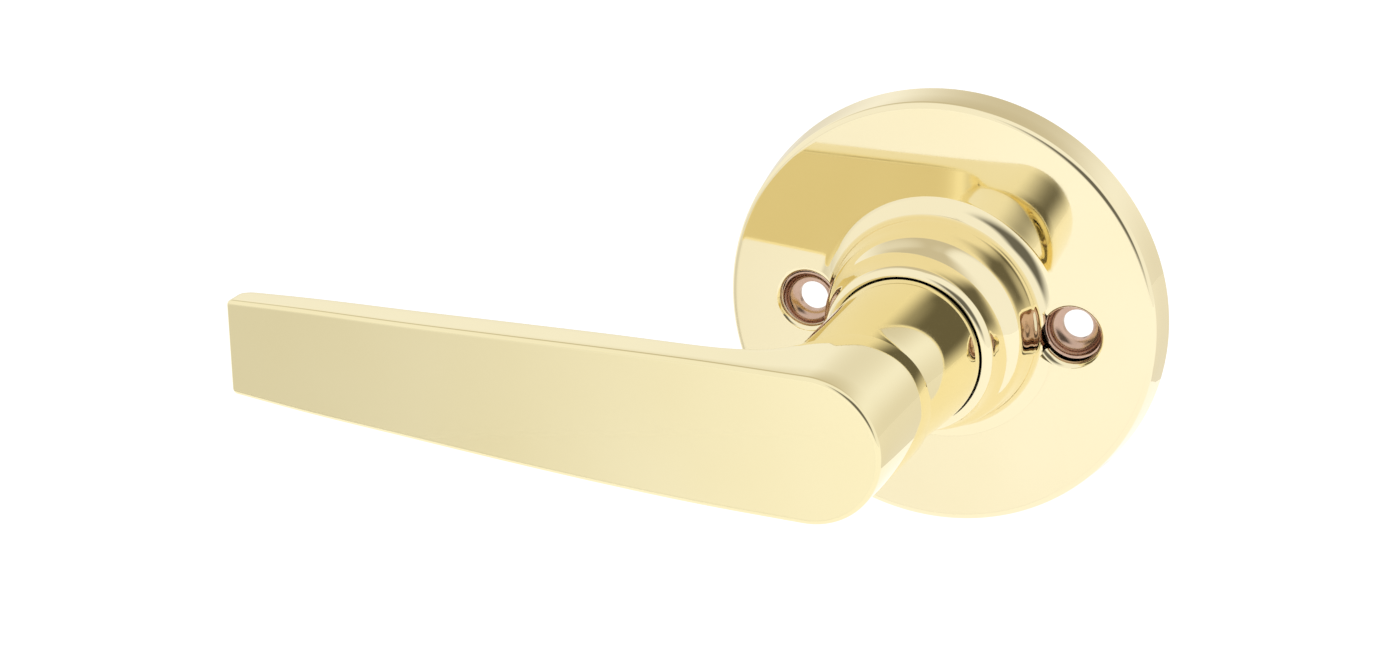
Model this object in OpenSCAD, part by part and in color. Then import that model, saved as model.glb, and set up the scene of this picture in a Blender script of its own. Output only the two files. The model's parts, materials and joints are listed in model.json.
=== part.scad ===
// Inside half of a tubular passage lever lockset: a cast lever on a round sprung rose.
// Origin: centre of the rose's back face, on the spindle axis.
// +Y goes into the door, -Y is the room side, +Z is up, and the lever points to -X.

/* [Rose] */
// Radius of the rose where it meets the door
rose_r = 32.8; // [31:0.1:34]
// Height of the rose's flat face above the door
rose_face = 5.3; // [5:0.1:6]
// Height of the collar's lip above the door
collar_h = 20.4; // [20:0.1:21]
// Wall of the pressed brass cover
cover_t = 0.9; // [0.7:0.1:1.1]

/* [Door fixing] */
// Distance of each screw hole from the spindle axis
screw_r = 20.1; // [19.8:0.1:20.5]
// Radius of the through holes for the mounting screws
screw_hole_r = 2.25; // [2:0.05:2.4]
// Turn of the mounting plate inside the cover, in degrees
plate_turn = 1.8; // [0:0.1:2]
// Radius of the openings pressed into the cover over the screw holes
well_r = 4.15; // [3.9:0.05:4.2]

/* [Lever] */
// Distance from the door to the front of the lever
lever_front = 58; // [56:0.5:60]
// Distance from the spindle axis to the lever's tip
lever_reach = 88.8; // [80:0.2:95]
// Radius of the neck where it enters the collar
neck_r = 11; // [10.8:0.05:11.1]
// Radius of the rounded end over the neck
hub_r = 10.3; // [10.2:0.05:10.5]

/* [Mechanism] */
// Radius of the steel sleeve that carries the lever
sleeve_r = 6.9; // [6.8:0.05:7]
// Width of the square spindle
spindle_w = 8; // [7.6:0.1:8]
// How far the spindle reaches into the door
spindle_out = 48; // [40:1:50]
// Turn of the lever each way, in degrees
travel = 45; // [40:1:45]

/* [Hidden] */
$fn = 96;

lip_gap = 0.2;                  // between the neck and the lip of the cover
run_gap = 0.05;                 // radial clearance of a running fit
fit_gap = 0.02;                 // radial clearance of a pressed or tapped fit
plate_t = 1.2;                  // mounting plate
cup_top = 4.25;                 // rim of the plate's screw cups above the door
cup_low = 2.1;                  // bottom of the cups, at the through hole's edge
cup_back = 1.2;                 // depth of the hollow behind each cup
cup_r = 4.1;                    // inside radius of the cups at the rim
tray_w = 26.8;                  // spring housing: across, high, deep, wall
tray_h = 39;
tray_d = 8.9;
tray_t = 0.9;
tray_r = 2.2;                   // its corners
ear_h = 50;                     // height over the housing's riveted ears
ear_w = 20;
rivet_r = 1.5;
rivet_x = 7;
rivet_z = 22.2;
driver_at = 1.3;                // driver plate behind the door face
driver_t = 1.2;
driver_r = 11.8;
lug_x = 8;                      // inner edge of the driver's bent lugs
lug_w = 3.2;
lug_end = 7.6;
rear_bush_r = 7.9;              // bush in the housing's back, round the sleeve
rear_bush_at = 7.2;
flat_z = 6;                     // half width over the sleeve's drive flats
stop_r = 1.3;
stop_pitch = 11.2;              // distance of the stop pins from the axis
spring_x = 9.8;                 // return springs
spring_y = 5.4;
spring_mean_r = 1.95;
wire_r = 0.45;
spring_low = lug_w / 2 + 0.1;
spring_high = 17.4;
spring_turns = 8;
coil_steps = 14;                // sections in one turn of wire
wire_sides = 6;
neck_end = 3.3;                 // the neck's tail, measured from the door
sleeve_front = 36;
sleeve_back = 12;
washer_t = 0.7;
ring_at = 9.55;                 // snap ring, behind the rear washer
ring_t = 0.9;
groove_r = 6.2;
pin_at = 11;                    // spindle pin, in front of the door face
pin_r = 1.2;
float = 2;                      // end float of the spindle each way
screw_at = 27;                  // set screw under the neck
set_screw_r = 2.5;
bow_r = 60;                     // bend radius of the curved spring washer
bow_t = 0.4;
paddle_back = 52;               // back of the lever's blade, from the door
paddle_tip_back = 50;
hub_back = 39.5;                // where the rounded end starts
hub_x = -1.4;                   // centre of the rounded end
hub_draft = 0.35;               // how much wider the rounded end is behind than in front
neck_x = -1.2;                  // centre and radius of the neck where it meets the rounded end
neck_front_r = 10.1;

// Half height of the blade at distances from the axis, tip first.
blade = [[-lever_reach, 7.1], [-76, 7.85], [-60, 8.5], [-44.5, 9.2], [-30, 9.8], [-16, 10.2]];

// Outline of the pressed cover, as radius and height above the door.
face_edge = [for (a = [9:13.5:90]) [rose_r - 1.65 + 0.95 * cos(a), rose_face - 0.95 + 0.95 * sin(a)]];
boss_foot = [for (a = [0:10:80]) [18.6 - 3 * sin(a), rose_face + 0.3 + 3 * (1 - cos(a))]];
shoulder = [[15.6, 8.6], [15.2, 10.2], [14.95, 11.6], [14.65, 12.9], [14.1, 14]];
wall = [[13.5, 15.1], [12.95, 16.6], [12.6, 18.4]];
lip = [for (a = [0:15:90]) [neck_r + lip_gap + 1.3 * cos(a), collar_h - 1.6 + 1.6 * sin(a)]];
cover_outside = concat([[rose_r, 0]], face_edge, boss_foot, shoulder, wall, lip);

// The inside of the cover keeps the wall's thickness.
inner_r = rose_r - cover_t - 0.15;
bush_seat = [[12.05, 17.6], [12.4, 15.4], [13.2, 13.5], [14, 10.2], [14.9, 7.4], [17, 4.75]];
cover_inside = concat([[neck_r + lip_gap, collar_h + 1], [neck_r + lip_gap, 17.6]], bush_seat,
                      [[inner_r - 0.95, rose_face - cover_t], [inner_r - 0.5, rose_face - cover_t - 0.6],
                       [inner_r, plate_t + 0.1], [inner_r, -1], [0, -1], [0, collar_h + 1]]);

// Spins a profile of radius and height about the spindle axis, growing towards the room.
module turned() rotate([90, 0, 0]) rotate_extrude() children();

// Extrudes an outline drawn as x and z, from a height above the door towards the room.
module slab(from, thick) translate([0, -from, 0]) rotate([90, 0, 0]) linear_extrude(thick) children();

// A rod along the spindle axis direction.
module rod(r, from, to) slab(from, to - from) circle(r);

module rounded_rect(w, h, r) {
    square([w - 2 * r, h], center = true);
    square([w, h - 2 * r], center = true);
    for (x = [-1, 1], z = [-1, 1]) translate([x * (w / 2 - r), z * (h / 2 - r)]) circle(r);
}

module at_wells() for (s = [-1, 1]) translate([s * (screw_r - 0.1), 0, 0]) children();

module at_corners(x, z) for (i = [-1, 1], k = [-1, 1]) translate([i * x, 0, k * z]) children();

// Openings pressed through the cover, with a rolled-in edge that stops at the foot of the collar.
module well_cuts() {
    roll = 1.1;
    low = rose_face - roll + 0.3;
    at_wells() rod(well_r, 1, 9);
    difference() {
        at_wells() turned() polygon(concat([[0, low]],
            [for (a = [0:15:90]) [well_r + roll * (1 - cos(a)), low + roll * sin(a)]],
            [[well_r + roll, 9], [0, 9]]));
        rod(16.3, 0, 20);
    }
}

// Pressed brass cover with its collar and two screw openings.
module rose_cover() color([0.83, 0.69, 0.4]) difference() {
    turned() polygon(concat([[0, 0]], cover_outside, [[0, collar_h]]));
    difference() {
        turned() polygon(cover_inside);
        at_wells() rod(well_r + cover_t, cup_top, 9);
    }
    well_cuts();
}

// Hollow of one dished screw cup, from the hole's edge up to the rim.
module cup_hollow() turned() polygon(concat([[0, cup_low]],
    [for (a = [0:10:90]) [screw_hole_r + (cup_r - screw_hole_r) * sin(a),
                          cup_low + (cup_top - cup_low) * (1 - cos(a))]],
    [[cup_r, cup_top + 1], [0, cup_top + 1]]));

module at_screws() rotate([0, -plate_turn, 0]) for (s = [0, 180]) rotate([0, s, 0])
    translate([screw_r, 0, 0]) children();

// Steel plate that carries everything and takes the mounting screws.
module mounting_plate() color([0.72, 0.45, 0.35]) difference() {
    union() {
        rod(inner_r - 0.05, 0, plate_t);
        at_screws() rod(cup_r + 0.45, 0, cup_top - 0.05);
    }
    rod(sleeve_r + run_gap, -1, 3);
    at_screws() {
        rod(screw_hole_r, -1, 3);
        rod(screw_hole_r + 0.9, -1, cup_back);
        cup_hollow();
    }
    at_corners(rivet_x, rivet_z) rod(rivet_r, -1, 3);
}

// Nylon bush that fills the collar and carries the neck.
module bearing_bush() color([0.9, 0.9, 0.86]) turned() polygon([
    [neck_r + run_gap, plate_t + fit_gap], [13.4, plate_t + fit_gap], [13.4, 3], [12.6, 3.4],
    [12.6, 8.6], [13.95, 10.1], [13.1, 13.4], [12.3, 15.35], [12, 17.2], [11.6, 17.55],
    [neck_r + run_gap, 17.55]]);

// Pressed steel tray behind the plate, with an ear at the top and bottom.
module spring_housing() color([0.75, 0.76, 0.78]) difference() {
    union() {
        slab(-tray_d, tray_d) rounded_rect(tray_w, tray_h, tray_r);
        slab(-tray_t, tray_t) rounded_rect(ear_w, ear_h, 3);
    }
    slab(-(tray_d - tray_t), tray_d)
        rounded_rect(tray_w - 2 * tray_t, tray_h - 2 * tray_t, tray_r - tray_t);
    rod(rear_bush_r, -20, 1);
    at_corners(rivet_x, rivet_z) rod(rivet_r, -3, 1);
    stop_places() rod(stop_r, -20, 1);
}

// Rivets that hold the housing to the plate; their front heads are sunk in the hollow rose.
module housing_rivets() color([0.6, 0.61, 0.63]) at_corners(rivet_x, rivet_z) {
    rod(rivet_r - fit_gap, -tray_t, plate_t);
    turned() polygon([[0, plate_t], [2.4, plate_t], [2, plate_t + 0.8], [0, plate_t + 1]]);
    turned() polygon([[0, -tray_t], [2.4, -tray_t], [2, -tray_t - 0.7], [0, -tray_t - 0.9]]);
}

// Places of the two stops, where a lug lands at the end of its travel.
module stop_places() {
    lug_half = asin(lug_w / 2 / stop_pitch);
    pin_half = asin(stop_r / stop_pitch);
    drop = travel + lug_half + pin_half + 1;
    for (s = [-1, 1]) translate([s * stop_pitch * cos(drop), 0, -stop_pitch * sin(drop)]) children();
}

// Steel stops riveted through the back of the housing.
module stop_pins() color([0.55, 0.56, 0.58]) stop_places() {
    rod(stop_r - fit_gap, -tray_d, -3.2);
    turned() polygon([[0, -tray_d], [2, -tray_d], [1.6, -tray_d - 0.6], [0, -tray_d - 0.7]]);
}

// Headed pegs that locate the upper ends of the return springs.
module spring_guides() color([0.2, 0.2, 0.22]) for (s = [-1, 1]) translate([s * spring_x, spring_y, 0]) {
    translate([0, 0, spring_high + 0.05]) cylinder(r = 2.3, h = 0.5);
    translate([0, 0, spring_high - 3]) cylinder(r = 1.3, h = tray_h / 2 - tray_t - fit_gap - spring_high + 3);
}

// Round wire wound into a helix along +Z, as one closed skin.
function coil_ring(i) = let (a = 360 * i / coil_steps, climb = spring_high - spring_low - 2 * wire_r,
    z = spring_low + wire_r + climb * i / (spring_turns * coil_steps))
    [for (k = [0:wire_sides - 1]) let (b = 360 * k / wire_sides, r = spring_mean_r + wire_r * cos(b))
        [r * cos(a), r * sin(a), z + wire_r * sin(b)]];

module return_spring() {
    rings = spring_turns * coil_steps;
    points = [for (i = [0:rings]) each coil_ring(i)];
    sides = [for (i = [0:rings - 1], k = [0:wire_sides - 1]) let (n = wire_sides, j = (k + 1) % n)
        [i * n + k, i * n + j, (i + 1) * n + j, (i + 1) * n + k]];
    first = [for (k = [wire_sides - 1:-1:0]) k];
    last = [for (k = [0:wire_sides - 1]) rings * wire_sides + k];
    polyhedron(points, concat(sides, [first, last]));
}

module return_spring_left() color([0.45, 0.46, 0.5]) translate([-spring_x, spring_y, 0]) return_spring();

module return_spring_right() color([0.45, 0.46, 0.5]) translate([spring_x, spring_y, 0]) return_spring();

// Nylon bush in the back of the housing, where the sleeve passes through.
module rear_bush() color([0.9, 0.9, 0.86]) difference() {
    rod(rear_bush_r - fit_gap, -tray_d, -rear_bush_at);
    rod(sleeve_r + run_gap, -20, 1);
}

// Nylon washer on the plate, under the curved spring washer.
module thrust_washer() color([0.93, 0.93, 0.9]) turned()
    translate([sleeve_r + 0.15, plate_t + fit_gap]) square([3.65, washer_t - fit_gap]);

// Steel washer between the housing and the snap ring.
module rear_washer() color([0.8, 0.81, 0.83])
    turned() translate([sleeve_r + 0.15, -ring_at + 0.03]) square([1.5, ring_at - tray_d - 0.06]);

// Outline of the blade and the rounded end, as x and z.
module lever_outline() {
    end = [for (a = [84:-6:-84]) [hub_x + hub_r * cos(a), hub_r * sin(a)]];
    polygon(concat(blade, end, [for (i = [len(blade) - 1:-1:0]) [blade[i][0], -blade[i][1]]]));
}

// Outline of the lever from above, as x and distance from the door.
module lever_plan() {
    bow = 0.00045;
    front = [for (x = [-lever_reach:8.0727:0]) [x, lever_front - bow * x * x]];
    corner = [for (a = [0:22.5:90]) [-lever_reach + 2.5 * (1 - cos(a)), paddle_tip_back + 2.5 * (1 - sin(a))]];
    sweep = [[-17, paddle_back], [-12, paddle_back - 0.6], [-9, 50.2], [-5.9, 47.5], [-3.4, 43.5], [0.5, 41]];
    polygon(concat([[20, lever_front]], [for (i = [len(front) - 1:-1:0]) front[i]], corner, sweep,
                   [[9, hub_back], [20, hub_back]]));
}

// Cast lever: blade, rounded end, neck and the tail that runs in the bush.
module lever_handle() color([0.86, 0.74, 0.45]) difference() {
    union() {
        intersection() {
            union() {
                slab(30, 40) lever_outline();
                translate([hub_x, 0.5 - hub_back, 0]) rotate([90, 0, 0])
                    cylinder(r1 = hub_r + hub_draft, r2 = hub_r + 0.03, h = lever_front - hub_back + 1);
            }
            translate([0, 0, -20]) linear_extrude(40) mirror([0, 1]) lever_plan();
        }
        hull() {
            rod(neck_r, 22, 22.1, $fn = 64);
            translate([neck_x, 0, 0]) rod(neck_front_r, hub_back, hub_back + 0.1, $fn = 64);
        }
        translate([neck_x, 0, 0]) rod(neck_front_r, hub_back, paddle_back);
        rod(neck_r, neck_end, 22.05);
    }
    rod(sleeve_r + fit_gap, 0, sleeve_front + 0.05);
    translate([0, -screw_at, 0]) rotate([180, 0, 0]) cylinder(r = set_screw_r, h = 20);
}

// Steel sleeve pressed into the neck: square inside, flatted where it drives.
module spindle_sleeve() color([0.66, 0.67, 0.7]) difference() {
    rod(sleeve_r, -sleeve_back, sleeve_front);
    slab(-sleeve_back - 1, sleeve_back + 21.5) square(spindle_w + 0.1, center = true);
    for (s = [-1, 1]) slab(-sleeve_back - 1, sleeve_back + 1 - driver_at)
        translate([0, s * (flat_z + 5)]) square([20, 10], center = true);
    slab(-ring_at - ring_t - 0.03, ring_t + 0.06) difference() { circle(10); circle(groove_r); }
    translate([0, -pin_at, -10]) cylinder(r = pin_r, h = 20);
}

// Headless screw that locks the lever to the sleeve.
module set_screw() color([0.3, 0.3, 0.33]) translate([0, -screw_at, -neck_r + 0.4]) difference() {
    cylinder(r = set_screw_r - fit_gap, h = neck_r - 0.4 - sleeve_r - fit_gap);
    translate([0, 0, -1]) cylinder(r = 1.45, h = 3, $fn = 6);
}

// Pressed driver on the sleeve's flats; its bent lugs push the springs.
module spring_driver() color([0.7, 0.68, 0.6]) {
    slab(-driver_at - driver_t, driver_t) difference() {
        circle(driver_r);
        intersection() {
            circle(sleeve_r + fit_gap);
            square([20, 2 * (flat_z + fit_gap)], center = true);
        }
    }
    slab(-lug_end, lug_end - driver_at - driver_t) intersection() {
        circle(driver_r);
        for (s = [-1, 1]) translate([s * (lug_x + 3), 0]) square([6, lug_w], center = true);
    }
}

// Curved spring washer that takes up end play under the neck.
module wave_washer() color([0.5, 0.51, 0.55]) {
    reach = 10.6;
    centre = neck_end - 0.03 - bow_r;
    intersection() {
        slab(0, 6) difference() { circle(reach); circle(sleeve_r + 0.3); }
        translate([0, -centre, 0]) rotate([0, 90, 0]) difference() {
            cylinder(r = bow_r, h = 30, center = true, $fn = 240);
            cylinder(r = bow_r - bow_t, h = 31, center = true, $fn = 240);
        }
    }
}

// Open retaining ring with two eyes.
module snap_ring() color([0.35, 0.36, 0.4]) slab(-ring_at - ring_t, ring_t) difference() {
    union() {
        circle(8.1);
        for (s = [-1, 1]) translate([s * 2.4, 8.3]) circle(1.6);
    }
    circle(groove_r + fit_gap);
    translate([0, 8]) square([2.2, 8], center = true);
    for (s = [-1, 1]) translate([s * 2.5, 8.4]) circle(0.7);
}

// Cross pin that keeps the spindle in the sleeve.
module spindle_pin() color([0.5, 0.5, 0.52])
    translate([0, -pin_at, -sleeve_r + 0.1]) cylinder(r = pin_r - fit_gap, h = 2 * sleeve_r - 0.2);

// Square spindle that works the latch; its slot lets it slide on the pin.
module spindle() color([0.78, 0.79, 0.8]) difference() {
    intersection() {
        slab(-spindle_out, spindle_out + 18) square(spindle_w, center = true);
        turned() polygon([[0, -spindle_out], [4.4, -spindle_out], [6, -spindle_out + 3], [6, 18], [0, 18]]);
    }
    for (y = [-float, float]) translate([0, y - pin_at, -10]) cylinder(r = pin_r + run_gap, h = 20);
    translate([0, -pin_at, 0]) cube([2 * (pin_r + run_gap), 2 * float, 20], center = true);
}

rose_cover();
mounting_plate();
bearing_bush();
spring_housing();
housing_rivets();
stop_pins();
spring_guides();
return_spring_left();
return_spring_right();
thrust_washer();
rear_bush();
rear_washer();
lever_handle();
spindle_sleeve();
set_screw();
spring_driver();
wave_washer();
snap_ring();
spindle_pin();
spindle();
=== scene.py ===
import json
from bisect import bisect
from math import cos, pi, radians, sin, sqrt

import bmesh
import bpy
from mathutils import Matrix, Vector

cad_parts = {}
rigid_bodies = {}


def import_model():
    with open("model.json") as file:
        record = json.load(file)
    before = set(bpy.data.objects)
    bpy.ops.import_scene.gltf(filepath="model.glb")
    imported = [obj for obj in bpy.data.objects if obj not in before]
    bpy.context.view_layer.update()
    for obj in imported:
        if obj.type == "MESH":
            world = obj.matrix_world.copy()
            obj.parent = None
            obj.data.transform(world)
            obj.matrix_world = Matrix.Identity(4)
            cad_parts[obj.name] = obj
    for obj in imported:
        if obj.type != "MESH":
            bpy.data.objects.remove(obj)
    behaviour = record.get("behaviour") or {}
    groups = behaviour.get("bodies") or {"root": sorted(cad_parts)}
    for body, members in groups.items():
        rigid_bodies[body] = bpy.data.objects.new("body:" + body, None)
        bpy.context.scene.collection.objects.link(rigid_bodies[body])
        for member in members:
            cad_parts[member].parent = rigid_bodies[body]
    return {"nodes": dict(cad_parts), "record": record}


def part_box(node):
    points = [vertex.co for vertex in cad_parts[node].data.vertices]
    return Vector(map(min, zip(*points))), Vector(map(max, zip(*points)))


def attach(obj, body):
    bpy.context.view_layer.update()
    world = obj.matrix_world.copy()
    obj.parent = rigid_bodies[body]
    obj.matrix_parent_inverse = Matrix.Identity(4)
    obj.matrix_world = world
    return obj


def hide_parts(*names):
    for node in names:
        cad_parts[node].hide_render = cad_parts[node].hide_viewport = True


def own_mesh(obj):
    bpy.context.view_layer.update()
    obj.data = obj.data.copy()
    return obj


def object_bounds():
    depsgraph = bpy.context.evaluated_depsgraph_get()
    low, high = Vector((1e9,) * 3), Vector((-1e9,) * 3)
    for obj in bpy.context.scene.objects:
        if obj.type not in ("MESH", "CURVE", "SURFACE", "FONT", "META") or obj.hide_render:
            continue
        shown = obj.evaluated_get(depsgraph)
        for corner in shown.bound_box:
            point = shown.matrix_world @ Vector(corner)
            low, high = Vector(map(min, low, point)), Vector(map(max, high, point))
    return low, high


# The scene starts empty, so that the frame is all there is.
for leftover in list(bpy.data.objects):
    bpy.data.objects.remove(leftover)

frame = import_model()
cad_low, cad_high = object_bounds()

# Measures are in millimetres here and become metres in place().
# x is across, d is the height above the door towards the room, z is up.
MM = 0.001


def measured(node):
    """The lowest and highest x, d and z of a CAD node, in millimetres."""
    low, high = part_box(node)
    return Vector((low.x, -high.y, low.z)) / MM, Vector((high.x, -low.y, high.z)) / MM


def place(x, d, z):
    return Vector((x, -d, z)) * MM


def smooth_curve(points):
    """A function that runs smoothly through (x, y) points given with rising x."""
    xs, ys = zip(*points)
    last = len(points) - 1

    def slope(i):
        a, b = max(i - 1, 0), min(i + 1, last)
        return (ys[b] - ys[a]) / (xs[b] - xs[a])

    def value(x):
        x = min(max(x, xs[0]), xs[-1])
        i = min(bisect(xs, x) - 1, last - 1)
        step = xs[i + 1] - xs[i]
        t = (x - xs[i]) / step
        return ((2 * t**3 - 3 * t**2 + 1) * ys[i] + (t**3 - 2 * t**2 + t) * step * slope(i)
                + (3 * t**2 - 2 * t**3) * ys[i + 1] + (t**3 - t**2) * step * slope(i + 1))

    return value


def arc(centre, radii, start, end, steps):
    """Points on an ellipse's arc, with angles in degrees."""
    turns = [radians(start + (end - start) * i / steps) for i in range(steps + 1)]
    return [(centre[0] + radii[0] * cos(a), centre[1] + radii[1] * sin(a)) for a in turns]


# ---------------------------------------------------------------- mesh helpers

def skin(bm, rows, closed=False):
    """Adds a sheet of faces over rows of points. A closed sheet joins the end of each row to its start."""
    verts = [[bm.verts.new(p) for p in row] for row in rows]
    count = len(rows[0])
    for a, b in zip(verts, verts[1:]):
        for i in range(count if closed else count - 1):
            j = (i + 1) % count
            bm.faces.new((a[i], a[j], b[j], b[i]))


def finish_mesh(bm, name):
    """Closes the seams between sheets and returns the mesh as an object."""
    bmesh.ops.remove_doubles(bm, verts=bm.verts, dist=2e-7)
    bmesh.ops.dissolve_degenerate(bm, dist=1e-8, edges=bm.edges)
    bmesh.ops.recalc_face_normals(bm, faces=bm.faces)
    mesh = bpy.data.meshes.new(name)
    bm.to_mesh(mesh)
    bm.free()
    obj = bpy.data.objects.new(name, mesh)
    bpy.context.scene.collection.objects.link(obj)
    return obj


def turned(name, section, steps=160, at=(0, 0)):
    """A solid turned about an axis that stands on the door at (x, z), from a loop of (radius, d)."""
    bm = bmesh.new()
    loop = list(section) + [section[0]]
    rows = [[place(at[0] + r * cos(2 * pi * k / steps), d, at[1] + r * sin(2 * pi * k / steps))
             for k in range(steps)] for r, d in loop]
    skin(bm, rows, closed=True)
    return finish_mesh(bm, name)


def rod(radius, low, high, at=(0, 0), steps=96):
    return turned("tool", [(0, low), (radius, low), (radius, high), (0, high)], steps, at)


def combine(obj, other, operation):
    """Cuts other from obj, joins them or keeps what they share, and removes other."""
    step = obj.modifiers.new("combine", "BOOLEAN")
    step.operation, step.object, step.solver = operation, other, "EXACT"
    bpy.context.view_layer.update()
    result = bpy.data.meshes.new_from_object(obj.evaluated_get(bpy.context.evaluated_depsgraph_get()))
    obj.modifiers.clear()
    obj.data = result
    bpy.data.objects.remove(other)
    return obj


def smooth(obj, degrees=32):
    obj.data.shade_smooth()
    obj.data.set_sharp_from_angle(angle=radians(degrees))


# ---------------------------------------------------------------- materials

class Finish:
    """A material with the few texture steps that the finishes below share."""

    def __init__(self, name):
        self.material = bpy.data.materials.new(name)
        self.material.use_nodes = True
        self.tree = self.material.node_tree
        self.shader = self.tree.nodes["Principled BSDF"]
        self.coordinates = self.tree.nodes.new("ShaderNodeTexCoord").outputs["Object"]

    def link(self, source, target):
        self.tree.links.new(source, target)

    def set(self, **values):
        for key, value in values.items():
            self.shader.inputs[key.replace("_", " ").title().replace("Ior", "IOR")].default_value = value

    def noise(self, scale, detail=3.0, stretch=(1, 1, 1)):
        mapping = self.tree.nodes.new("ShaderNodeMapping")
        mapping.inputs["Scale"].default_value = stretch
        texture = self.tree.nodes.new("ShaderNodeTexNoise")
        texture.inputs["Scale"].default_value = scale
        texture.inputs["Detail"].default_value = detail
        self.link(self.coordinates, mapping.inputs["Vector"])
        self.link(mapping.outputs["Vector"], texture.inputs["Vector"])
        return texture.outputs["Fac"]

    def between(self, source, low, high):
        """Turns a 0 to 1 texture into a value from low to high."""
        step = self.tree.nodes.new("ShaderNodeMapRange")
        step.inputs["From Min"].default_value = 0.3
        step.inputs["From Max"].default_value = 0.7
        step.inputs["To Min"].default_value = low
        step.inputs["To Max"].default_value = high
        self.link(source, step.inputs["Value"])
        return step.outputs["Result"]

    def colours(self, source, first, second):
        step = self.tree.nodes.new("ShaderNodeMix")
        step.data_type = "RGBA"
        step.inputs["A"].default_value = (*first, 1)
        step.inputs["B"].default_value = (*second, 1)
        self.link(self.between(source, 0, 1), step.inputs["Factor"])
        self.link(step.outputs["Result"], self.shader.inputs["Base Color"])

    def bumps(self, source, depth_mm, strength=1.0):
        step = self.tree.nodes.new("ShaderNodeBump")
        step.inputs["Strength"].default_value = strength
        step.inputs["Distance"].default_value = depth_mm * MM
        self.link(source, step.inputs["Height"])
        self.link(step.outputs["Normal"], self.shader.inputs["Normal"])

    def roughness(self, source, low, high):
        self.link(self.between(source, low, high), self.shader.inputs["Roughness"])


def polished_brass(name, light, deep):
    """Buffed brass under clear lacquer, with a faint haze and hairline marks."""
    f = Finish(name)
    f.set(metallic=1.0, coat_weight=0.14, coat_roughness=0.03)
    f.colours(f.noise(45, 2), deep, light)
    f.roughness(f.noise(260, 4), 0.02, 0.045)
    f.bumps(f.noise(900, 2, (1, 1, 0.04)), 0.0002)
    return f.material


def pressed_copper(name):
    """Copper-flashed steel, drawn into cups, with a slightly tarnished grain."""
    f = Finish(name)
    f.set(metallic=1.0)
    f.colours(f.noise(420, 4), (0.55, 0.37, 0.28), (0.62, 0.43, 0.33))
    f.roughness(f.noise(1500, 3), 0.14, 0.22)
    f.bumps(f.noise(2500, 3), 0.004)
    return f.material


def plated_steel(name, first, second, low, high, grain=1800):
    """Plated or bright steel with a fine cloudy grain."""
    f = Finish(name)
    f.set(metallic=1.0)
    f.colours(f.noise(300, 4), first, second)
    f.roughness(f.noise(grain / 3, 3), low, high)
    f.bumps(f.noise(grain, 2, (1, 0.15, 1)), 0.003)
    return f.material


def moulded_plastic(name, first, second, rough):
    f = Finish(name)
    f.set(metallic=0.0, ior=1.53)
    f.colours(f.noise(250, 3), first, second)
    f.roughness(f.noise(900, 2), rough - 0.06, rough + 0.06)
    f.bumps(f.noise(3500, 2), 0.004)
    return f.material


MATERIALS = {
    "brass_cover": polished_brass("brass_cover", (0.93, 0.835, 0.565), (0.915, 0.815, 0.535)),
    "brass_lever": polished_brass("brass_lever", (0.92, 0.825, 0.52), (0.905, 0.805, 0.49)),
    "copper_plate": pressed_copper("copper_plate"),
    "zinc_steel": plated_steel("zinc_steel", (0.7, 0.71, 0.73), (0.76, 0.77, 0.79), 0.22, 0.3),
    "steel": plated_steel("steel", (0.56, 0.56, 0.58), (0.62, 0.62, 0.64), 0.22, 0.3),
    "spring_steel": plated_steel("spring_steel", (0.45, 0.46, 0.49), (0.52, 0.53, 0.56), 0.18, 0.26),
    "black_steel": plated_steel("black_steel", (0.035, 0.035, 0.04), (0.075, 0.075, 0.08), 0.3, 0.45),
    "nylon": moulded_plastic("nylon", (0.78, 0.77, 0.7), (0.86, 0.85, 0.8), 0.42),
    "black_plastic": moulded_plastic("black_plastic", (0.02, 0.02, 0.02), (0.045, 0.045, 0.045), 0.4),
}


def take_over(obj, node, body, slot_name):
    """obj is shown in place of a CAD node, in that node's finish."""
    obj.data.materials.clear()
    obj.data.materials.append(MATERIALS[slot_name])
    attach(obj, body)
    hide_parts(node)


# ---------------------------------------------------------------- lever

LEVER_LOW, LEVER_HIGH = measured("lever_handle")
TIP = LEVER_LOW.x
FRONT = LEVER_HIGH.y
NECK_END = LEVER_LOW.y
NECK_R = LEVER_HIGH.x
HUB_X, HUB_R = -1.4, 10.3
NECK_TOP_X, NECK_TOP_R = -1.2, 10.1
TIP_CORNER = 0.9
TIP_ROUND = 2.5
FRONT_EDGE = 0.6
FRONT_BOW = 0.00045

half_height = smooth_curve([(TIP, 7.1), (-76, 7.85), (-60, 8.5), (-44.5, 9.2), (-30, 9.8),
                            (-16, 10.2), (HUB_X, HUB_R)])
back_line = smooth_curve([(TIP, 49.9), (-60, 50.8), (-30, 51.7), (-17, 52), (-12, 51.4), (-9, 50.2),
                          (-5.9, 47.5), (-3.4, 43.5), (0.5, 41), (9, 39.5)])
# How far the wall leans out towards the back, as the casting's draft.
draft = smooth_curve([(TIP, 0), (HUB_X - 3, 0), (HUB_X, 0.05), (3, 0.35), (7, 0.85), (9, 0.95)])
back_rounding = smooth_curve([(TIP, 0.7), (-20, 0.7), (-12, 0.5), (-6, 0.25), (9, 0.2)])


def front_height(x):
    return FRONT - FRONT_BOW * x * x


def back_height(x):
    """Height of the blade's back, which turns forward in a quarter round at the tip."""
    short = max(TIP_ROUND - (x - TIP), 0)
    return back_line(x) + TIP_ROUND - sqrt(max(TIP_ROUND ** 2 - short ** 2, 0))


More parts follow.
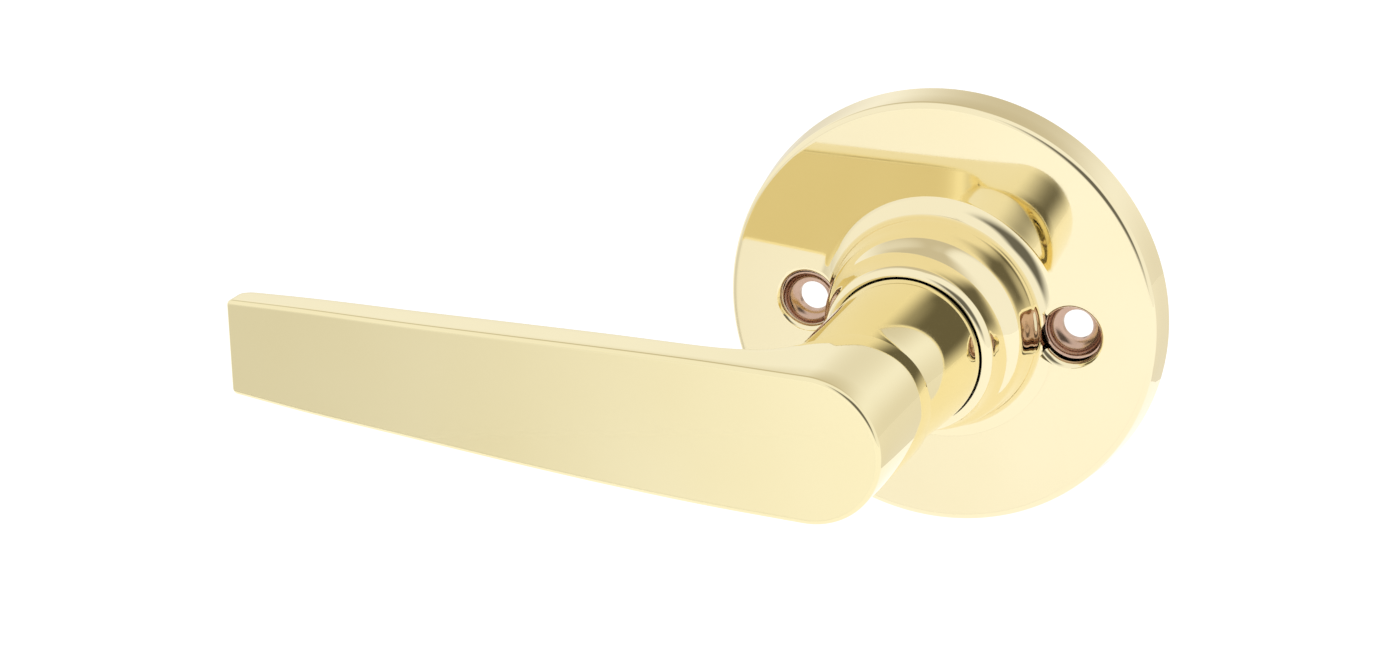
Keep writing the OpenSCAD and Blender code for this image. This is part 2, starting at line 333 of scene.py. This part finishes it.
def lever_edge(inset):
    """Upper half of the lever's outline as (x, z), from the tip to the rounded end, moved in by inset(x)."""
    move = inset(TIP)
    extra = max(move - TIP_CORNER, 0)
    centre = (TIP + TIP_CORNER + extra, half_height(TIP + TIP_CORNER) - TIP_CORNER - extra)
    radius = TIP_CORNER - min(move, TIP_CORNER)
    points = arc(centre, (radius, radius), 180, 93, 8)
    start = TIP + TIP_CORNER
    for i in range(1, 90):
        x = start + (HUB_X - start) * (i / 90) ** 1.5
        lean = (half_height(x + 0.1) - half_height(x - 0.1)) / 0.2
        x_in = max(x + inset(x) * lean, TIP + inset(x))
        points.append((x_in, half_height(x) - inset(x)))
    for a in range(90, -1, -3):
        x = HUB_X + HUB_R * cos(radians(a))
        reach = HUB_R - inset(x)
        points.append((HUB_X + reach * cos(radians(a)), reach * sin(radians(a))))
    return points


def lever_ring(inset, height):
    """The whole outline moved in by inset(x), each point at height(x)."""
    upper = lever_edge(inset)
    lower = [(x, -z) for x, z in reversed(upper)]
    return [place(x, height(x), z) for x, z in upper + lower]


def lever_face(inset, height, rows=8):
    """Fills the front or the back with rows from the upper edge to the lower one, the outer two narrow."""
    edge = lever_edge(inset)
    shares = [1, 0.97] + [0.8 - 1.6 * j / rows for j in range(rows + 1)] + [-0.97, -1]
    return [[place(x, height(x), z * share) for x, z in edge] for share in shares]


def blade():
    """Blade and rounded end, with a narrow rounded edge in front and a softer one behind."""
    bm = bmesh.new()
    rings = []
    for i in range(7):
        a = radians(90 * i / 6)
        rings.append((lambda x, a=a: FRONT_EDGE * (1 - sin(a)),
                      lambda x, a=a: front_height(x) - FRONT_EDGE * (1 - cos(a))))
    for i in range(1, 5):
        rings.append((lambda x, t=i / 5: -t * draft(x),
                      lambda x, t=i / 5: (1 - t) * (front_height(x) - FRONT_EDGE)
                      + t * (back_height(x) + back_rounding(x))))
    for i in range(8):
        a = radians(90 * i / 7)
        rings.append((lambda x, a=a: back_rounding(x) * (1 - cos(a)) - draft(x),
                      lambda x, a=a: back_height(x) + back_rounding(x) * (1 - sin(a))))
    skin(bm, [lever_ring(*ring) for ring in rings], closed=True)
    skin(bm, lever_face(*rings[0]))
    skin(bm, lever_face(*rings[-1]))
    return finish_mesh(bm, "lever_handle_fine")


def neck():
    """Neck that leans and narrows from the collar to the rounded end, and runs on inside the blade."""
    sides, chamfer, top = 128, 0.4, 51
    bm = bmesh.new()
    lean = smooth_curve([(NECK_END, 0), (20, 0), (24, 0.1), (38, 0.93), (42, 1), (top, 1)])
    rows = [[place(0, NECK_END, 0)] * sides]
    for d in [NECK_END, NECK_END + chamfer] + [5 + 1.15 * i for i in range(41)]:
        t = lean(d)
        r = NECK_R + (NECK_TOP_R - NECK_R) * t - (chamfer if d == NECK_END else 0)
        rows.append([place(NECK_TOP_X * t + r * cos(2 * pi * k / sides), d, r * sin(2 * pi * k / sides))
                     for k in range(sides)])
    rows.append([place(NECK_TOP_X, top, 0)] * sides)
    skin(bm, rows, closed=True)
    return finish_mesh(bm, "neck")


def lever():
    """Blade and neck as one casting, bored for the sleeve and the set screw."""
    gap = 0.02
    sleeve_high = measured("spindle_sleeve")[1]
    screw_low, screw_high = measured("set_screw")
    screw_r = (screw_high.x - screw_low.x) / 2 + gap
    screw_d = (screw_high.y + screw_low.y) / 2
    obj = combine(blade(), neck(), "UNION")
    combine(obj, rod(sleeve_high.x + gap, 0, sleeve_high.y + 0.05), "DIFFERENCE")
    hole = rod(screw_r, 0, 20, steps=48)
    hole.data.transform(Matrix.Translation(place(0, screw_d, 0)) @ Matrix.Rotation(pi / 2, 4, "X"))
    combine(obj, hole, "DIFFERENCE")
    smooth(obj)
    take_over(obj, "lever_handle", "lever", "brass_lever")


# ---------------------------------------------------------------- rose

COVER_HIGH = measured("rose_cover")[1]
ROSE_R = COVER_HIGH.x
COLLAR_H = COVER_HIGH.y
FACE_H = 5.6
FACE_EDGE_H = 5.3
FACE_EDGE_R = ROSE_R - 1.65
LIP_R = 11.2
WALL = 0.9
WELL_X, WELL_R, WELL_ROLL = 20.0, 4.15, 1.1
COLLAR_FOOT = 16.3
FOOT_R, FOOT_ROUND = 18.6, 3.0
EDGE_ROUND = 0.95
RING_STEP = 0.45


def cover_section():
    """Wall of the cover as a loop of (radius, d): up the outside to the lip and back down the inside."""
    shoulder = smooth_curve([(7, 15.98), (8.6, 15.6), (10.2, 15.2), (11.6, 14.95), (12.9, 14.65),
                             (14, 14.1), (15.1, 13.5), (16.6, 12.95), (18.8, 12.5)])
    outside = [(ROSE_R, 0), (ROSE_R - 0.35, 2.2)]
    outside += arc((FACE_EDGE_R, FACE_EDGE_H - EDGE_ROUND), (EDGE_ROUND, EDGE_ROUND), 10, 89, 12)
    slope = (FACE_H - FACE_EDGE_H) / (FACE_EDGE_R - FOOT_R)
    rings = [30.9 - RING_STEP * i for i in range(27)]
    outside += [(r, FACE_H - slope * (r - FOOT_R)) for r in rings]
    outside += arc((FOOT_R, FACE_H + FOOT_ROUND), (FOOT_ROUND, FOOT_ROUND), 270, 190, 18)
    outside += [(shoulder(8.6 + 0.4 * i), 8.6 + 0.4 * i) for i in range(25)]
    outside += arc((LIP_R, COLLAR_H - 1.6), (1.3, 1.6), 3, 87, 12) + [(LIP_R, COLLAR_H)]
    inner = ROSE_R - WALL - 0.15
    inside = [(LIP_R, 17.6), (12.05, 17.6), (12.4, 15.4), (13.2, 13.5), (14, 10.2), (14.9, 7.4),
              (17, FACE_H - WALL), (inner - 0.95, FACE_EDGE_H - WALL),
              (inner - 0.5, FACE_EDGE_H - WALL - 0.6), (inner, 1.3), (inner, 0)]
    return outside + inside


def cover():
    """Pressed cover with its collar and the two screw openings rolled into the face."""
    obj = turned("rose_cover_fine", cover_section(), 360)
    low = FACE_H - WELL_ROLL
    for side in (-1, 1):
        at = (side * WELL_X, 0)
        roll = [(WELL_R + WELL_ROLL - x, z) for x, z in arc((0, low), (WELL_ROLL, WELL_ROLL), 0, 90, 10)]
        funnel = turned("funnel", [(0, low - 0.3), (WELL_R, low - 0.3)] + roll
                        + [(WELL_R + WELL_ROLL, 9), (0, 9)], 128, at)
        combine(funnel, rod(COLLAR_FOOT, 0, 20, steps=360), "DIFFERENCE")
        combine(obj, funnel, "DIFFERENCE")
        combine(obj, rod(WELL_R, 1, 9, at, 128), "DIFFERENCE")
    smooth(obj, 28)
    take_over(obj, "rose_cover", "rose", "brass_cover")


def plate():
    """Mounting plate with two dished screw cups, turned slightly in the cover."""
    high = measured("mounting_plate")[1]
    thick, hole_r, cup_r, cup_top, cup_low, cup_back = 1.2, 2.25, 4.1, high.y, 2.1, 1.2
    turn, screw_at, back_r, wall, edge = radians(1.8), 20.1, hole_r + 0.9, 0.45, 0.15
    rivet_r, rivet_x, rivet_z = 1.5, 7, 22.2
    centre_r = measured("spindle_sleeve")[1].x + 0.05
    obj = turned("mounting_plate_fine", [
        (centre_r, edge), (centre_r + edge, 0), (high.x - edge, 0), (high.x, edge),
        (high.x, thick - edge), (high.x - edge, thick), (centre_r + edge, thick), (centre_r, thick - edge)])
    for side in (-1, 1):
        at = (side * screw_at * cos(turn), side * screw_at * sin(turn))
        combine(obj, rod(cup_r + 0.3, -1, 3, at), "DIFFERENCE")
        dish = [(hole_r + (cup_r - hole_r) * sin(radians(a)),
                 cup_low + (cup_top - 0.1 - cup_low) * (1 - cos(radians(a)))) for a in range(0, 91, 6)]
        cup = turned("cup", [(hole_r, cup_back)] + dish + [
            (cup_r + 0.1, cup_top), (cup_r + wall - 0.1, cup_top), (cup_r + wall, cup_top - 0.1),
            (cup_r + wall, 0), (back_r, 0), (back_r, cup_back)], 96, at)
        combine(obj, cup, "UNION")
    for x in (-rivet_x, rivet_x):
        for z in (-rivet_z, rivet_z):
            combine(obj, rod(rivet_r, -1, 3, (x, z), 48), "DIFFERENCE")
    smooth(obj, 35)
    take_over(obj, "mounting_plate", "rose", "copper_plate")


# ---------------------------------------------------------------- springs

def spring(side):
    """Return spring of round wire with closed ends."""
    node = "return_spring_" + side
    low, high = measured(node)
    wire_r, sides, turns, steps = 0.45, 12, 9, 36
    radius = (high.x - low.x) / 2 - wire_r
    centre = ((low.x + high.x) / 2, (low.y + high.y) / 2)
    length = high.z - low.z - 2 * wire_r
    # Each end lies flat for one turn and then climbs at an even pitch.
    closed_rise = 2 * wire_r / length
    climb = smooth_curve([(0, 0), (1 / turns, closed_rise), (1 - 1 / turns, 1 - closed_rise), (1, 1)])
    bm = bmesh.new()
    rows = []
    count = turns * steps
    for i in range(count + 1):
        a = 2 * pi * i / steps
        z = low.z + wire_r + length * climb(i / count)
        rows.append([place(centre[0] + (radius + wire_r * cos(b)) * cos(a),
                           centre[1] + (radius + wire_r * cos(b)) * sin(a), z + wire_r * sin(b))
                     for b in (2 * pi * k / sides for k in range(sides))])
    for end in (0, -1):
        middle = sum(rows[end], Vector()) / sides
        rows.insert(0 if end == 0 else len(rows), [middle] * sides)
    skin(bm, rows, closed=True)
    obj = finish_mesh(bm, node + "_fine")
    smooth(obj, 50)
    take_over(obj, node, "rose", "spring_steel")
    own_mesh(obj)


# ---------------------------------------------------------------- other parts

def dress_frame():
    """Softens the edges of the CAD parts that stay, and gives them their finish."""
    slots = {part["node"]: part["material_slot"] for part in frame["record"]["subparts"]}
    for name, obj in frame["nodes"].items():
        if obj.hide_render:
            continue
        obj.data.materials.clear()
        obj.data.materials.append(MATERIALS[slots[name]])
        weld = obj.modifiers.new("weld", "WELD")
        weld.merge_threshold = 1e-6
        bevel = obj.modifiers.new("edges", "BEVEL")
        bevel.width = 0.12 * MM
        bevel.segments = 2
        bevel.limit_method = "ANGLE"
        bevel.angle_limit = radians(35)


# ---------------------------------------------------------------- studio

def studio():
    scene = bpy.context.scene
    world = bpy.data.worlds.new("studio")
    scene.world = world
    world.use_nodes = True
    world.node_tree.nodes["Background"].inputs["Color"].default_value = (1, 1, 1, 1)
    world.node_tree.nodes["Background"].inputs["Strength"].default_value = 1.0
    scene.view_settings.view_transform = "Standard"

    floor_depth, floor_reach, brightness = 1.0, 8.0, 0.2
    bm = bmesh.new()
    bmesh.ops.create_grid(bm, x_segments=2, y_segments=2, size=floor_reach)
    floor = finish_mesh(bm, "floor")
    floor.location.z = cad_low.z - floor_depth
    paper = bpy.data.materials.new("paper")
    paper.use_nodes = True
    shader = paper.node_tree.nodes["Principled BSDF"]
    shader.inputs["Base Color"].default_value = (0.9, 0.9, 0.9, 1)
    shader.inputs["Roughness"].default_value = 0.9
    shader.inputs["Emission Color"].default_value = (1, 1, 1, 1)
    shader.inputs["Emission Strength"].default_value = brightness
    floor.data.materials.append(paper)

    for name, *look in FLAGS:
        flag("flag_" + name, *look)


# Broad soft sheets round the object, which give polished metal something to reflect: how far away each
# one is, where it stands (turn from the front and height, in degrees), its half width and half height,
# its soft share, cover and colour.
# The sheets' colours are painted reflections: dark and tinted patches that only mirror rays see, set darker
# than the world to give the brass its tone.
FLAGS = [
    ("right", 1.8, (30, 20), (35, 30), 0.6, 0.9, (0.06, 0.055, 0.04)),
    ("left", 1.9, (-60, -30), (50, 40), 0.7, 0.45, (0.35, 0.32, 0.24)),
    ("low", 2.0, (-20, -48), (60, 25), 0.9, 0.35, (0.55, 0.48, 0.36)),
    ("back", 2.1, (-170, 60), (80, 40), 0.6, 0.6, (0.4, 0.32, 0.15)),
    ("behind", 2.2, (-180, -18), (70, 40), 0.6, 0.6, (0.7, 0.64, 0.5)),
]


def flag(name, distance, aim, half, softness, cover, colour):
    """A soft-edged sheet far from the object that only its reflections show: a painted reflection."""
    steps = 40
    centre = (cad_low + cad_high) / 2
    bm = bmesh.new()
    layer = bm.verts.layers.float.new("cover")
    rows = []
    for i in range(steps + 1):
        v = 2 * i / steps - 1
        row = []
        for k in range(steps + 1):
            u = 2 * k / steps - 1
            el = radians(aim[1] + half[1] * v)
            az = radians(aim[0] + half[0] * u)
            vert = bm.verts.new(centre + distance * Vector((cos(el) * sin(az), -cos(el) * cos(az), sin(el))))
            edge = [min((1 - abs(w)) / softness, 1) for w in (u, v)]
            vert[layer] = cover * edge[0] ** 2 * (3 - 2 * edge[0]) * edge[1] ** 2 * (3 - 2 * edge[1])
            row.append(vert)
        rows.append(row)
    for a, b in zip(rows, rows[1:]):
        for k in range(steps):
            bm.faces.new((a[k], a[k + 1], b[k + 1], b[k]))
    obj = finish_mesh(bm, name)
    # The emission colour is a painted reflection. The sheet is hidden from the camera and casts no shade on
    # the object.
    painted_reflection_sheet = bpy.data.materials.new(name)
    painted_reflection_sheet.use_nodes = True
    tree = painted_reflection_sheet.node_tree
    tree.nodes.clear()
    amount = tree.nodes.new("ShaderNodeAttribute")
    amount.attribute_name = "cover"
    clear = tree.nodes.new("ShaderNodeBsdfTransparent")
    shade = tree.nodes.new("ShaderNodeEmission")
    shade.inputs["Color"].default_value = (*colour, 1)
    mix = tree.nodes.new("ShaderNodeMixShader")
    output = tree.nodes.new("ShaderNodeOutputMaterial")
    tree.links.new(amount.outputs["Fac"], mix.inputs[0])
    tree.links.new(clear.outputs[0], mix.inputs[1])
    tree.links.new(shade.outputs[0], mix.inputs[2])
    tree.links.new(mix.outputs[0], output.inputs["Surface"])
    obj.data.materials.append(painted_reflection_sheet)
    for kind in ("camera", "diffuse", "shadow", "transmission", "volume_scatter"):
        setattr(obj, "visible_" + kind, False)


def camera():
    data = bpy.data.cameras.new("camera")
    data.lens = 67.15
    data.sensor_width = 36
    data.clip_start = 0.01
    obj = bpy.data.objects.new("camera", data)
    obj.location = (0.10081, -0.34477, 0.13481)
    obj.rotation_euler = (radians(90 - 21.2), 0, radians(22.18))
    bpy.context.scene.collection.objects.link(obj)
    bpy.context.scene.camera = obj


lever()
cover()
plate()
spring("left")
spring("right")
dress_frame()
studio()
camera()
